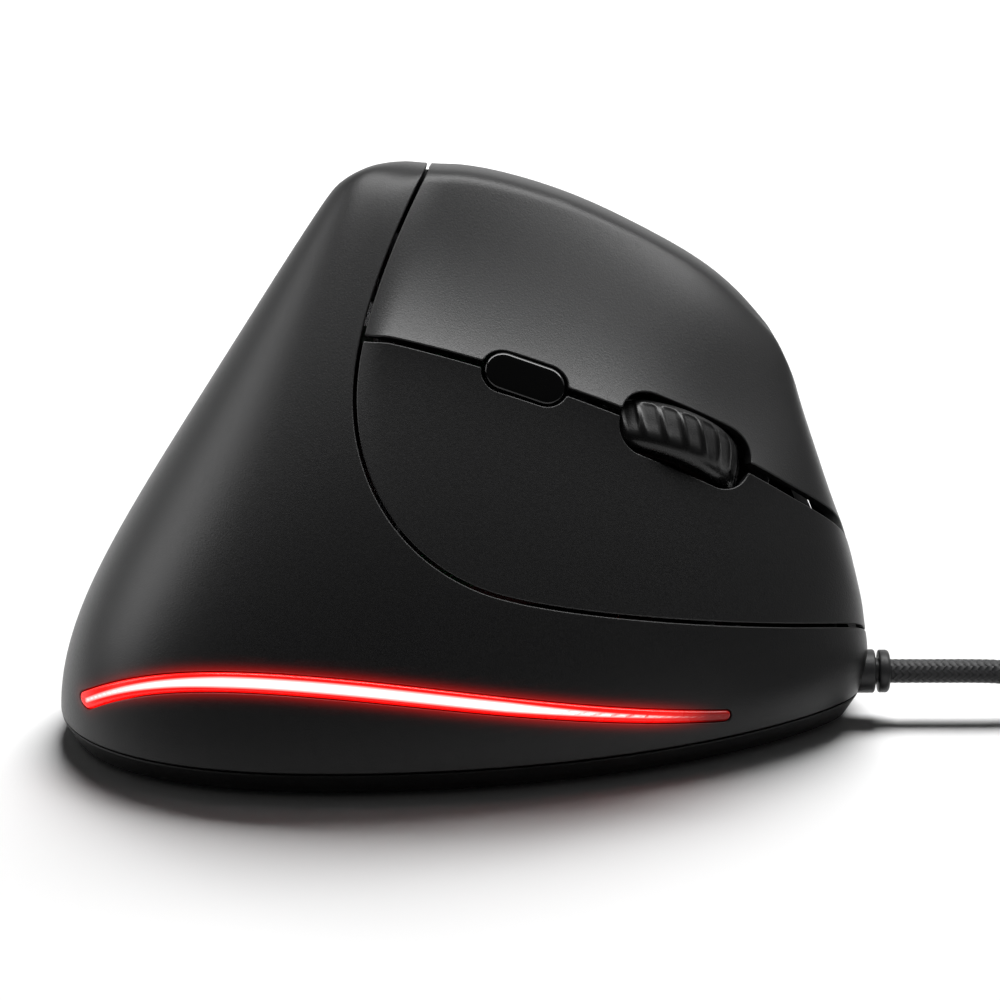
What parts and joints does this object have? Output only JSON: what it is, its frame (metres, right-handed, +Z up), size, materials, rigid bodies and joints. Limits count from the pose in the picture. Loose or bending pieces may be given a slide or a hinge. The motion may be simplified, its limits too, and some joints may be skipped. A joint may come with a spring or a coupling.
{
  "type": "vertical ergonomic mouse",
  "caption": "Upright handshake-grip computer mouse with hinged finger buttons, clicking scroll wheel, speed button, thumb keys, red light strip and a braided USB cable.",
  "frame": {"origin": "on the desk, under the middle of the body's box without the cable", "axes": "+X towards the nose and the cable, +Y towards the thumb side, +Z up from the desk"},
  "size_m": [0.215, 0.1066, 0.0792],
  "materials": {
    "shell": "soft-touch matte black",
    "button": "soft-touch matte black",
    "base": "fine-grain black",
    "gloss_black": "polished",
    "frame": "moulded",
    "rubber": "matte",
    "braid": "braided",
    "steel": "satin",
    "board": "solder mask",
    "glow": "lit red",
    "clear": "clear",
    "glide": "smooth",
    "white": "moulded"
  },
  "bodies": {
    "housing": {"palm_shell": "shell", "thumb_shell": "shell", "button_pin": "steel", "inner_frame": "frame", "button_board": "board", "left_switch": "gloss_black", "right_switch": "gloss_black", "cradle_pin": "steel", "wheel_switch": "gloss_black", "encoder_emitter": "clear", "encoder_receiver": "gloss_black", "speed_switch": "gloss_black", "thumb_board": "board", "thumb_switches": "gloss_black", "light_strip": "glow", "strip_leds": "clear", "base_tray": "base", "glide_feet": "glide", "base_screws": "steel", "main_board": "board", "main_chip": "gloss_black", "board_screws": "steel", "sensor_chip": "gloss_black", "sensor_lens": "clear", "cable_header": "white", "inner_lead": "rubber", "strain_relief": "rubber", "cable_run": "braid", "cable_coil": "braid", "cable_tail": "braid", "cable_strap": "rubber", "usb_plug_body": "rubber", "usb_plug_shell": "steel", "usb_plug_tongue": "white"},
    "left_button": {"left_button": "button"},
    "right_button": {"right_button": "button"},
    "wheel_cradle": {"wheel_cradle": "frame"},
    "scroll_wheel": {"wheel_hub": "frame", "wheel_tyre": "rubber", "wheel_axle": "steel"},
    "speed_button": {"speed_button": "gloss_black"},
    "thumb_key_front": {"thumb_key_front": "button"},
    "thumb_key_rear": {"thumb_key_rear": "button"}
  },
  "joints": [
    {"name": "left_button_press", "type": "hinge", "parent": "housing", "child": "left_button", "pos_m": [-0.00938, -0.00771, 0.05104], "axis": [0, 0.5592, 0.829], "range_deg": [0, 0.7], "stiffness_Nm_per_rad": 1.2},
    {"name": "right_button_press", "type": "hinge", "parent": "housing", "child": "right_button", "pos_m": [-0.00938, -0.00771, 0.05104], "axis": [0, 0.5592, 0.829], "range_deg": [0, 0.7], "stiffness_Nm_per_rad": 1.2},
    {"name": "wheel_click", "type": "hinge", "parent": "housing", "child": "wheel_cradle", "pos_m": [0.03967, -0.00124, 0.03249], "axis": [-0.2587, -0.5886, -0.7659], "range_deg": [0, 1.5], "stiffness_Nm_per_rad": 0.6},
    {"name": "wheel_turn", "type": "hinge", "parent": "wheel_cradle", "child": "scroll_wheel", "pos_m": [0.02652, -0.00409, 0.03913], "axis": [0.2587, 0.5886, 0.7659], "continuous": true},
    {"name": "speed_press", "type": "slide", "parent": "housing", "child": "speed_button", "axis": [-0.225, 0.8078, -0.5449], "range_m": [0, 0.0005], "stiffness_N_per_m": 300},
    {"name": "thumb_front_press", "type": "slide", "parent": "housing", "child": "thumb_key_front", "axis": [0, -1, 0], "range_m": [0, 0.0006], "stiffness_N_per_m": 400},
    {"name": "thumb_rear_press", "type": "slide", "parent": "housing", "child": "thumb_key_rear", "axis": [0, -1, 0], "range_m": [0, 0.0006], "stiffness_N_per_m": 400}
  ]
}
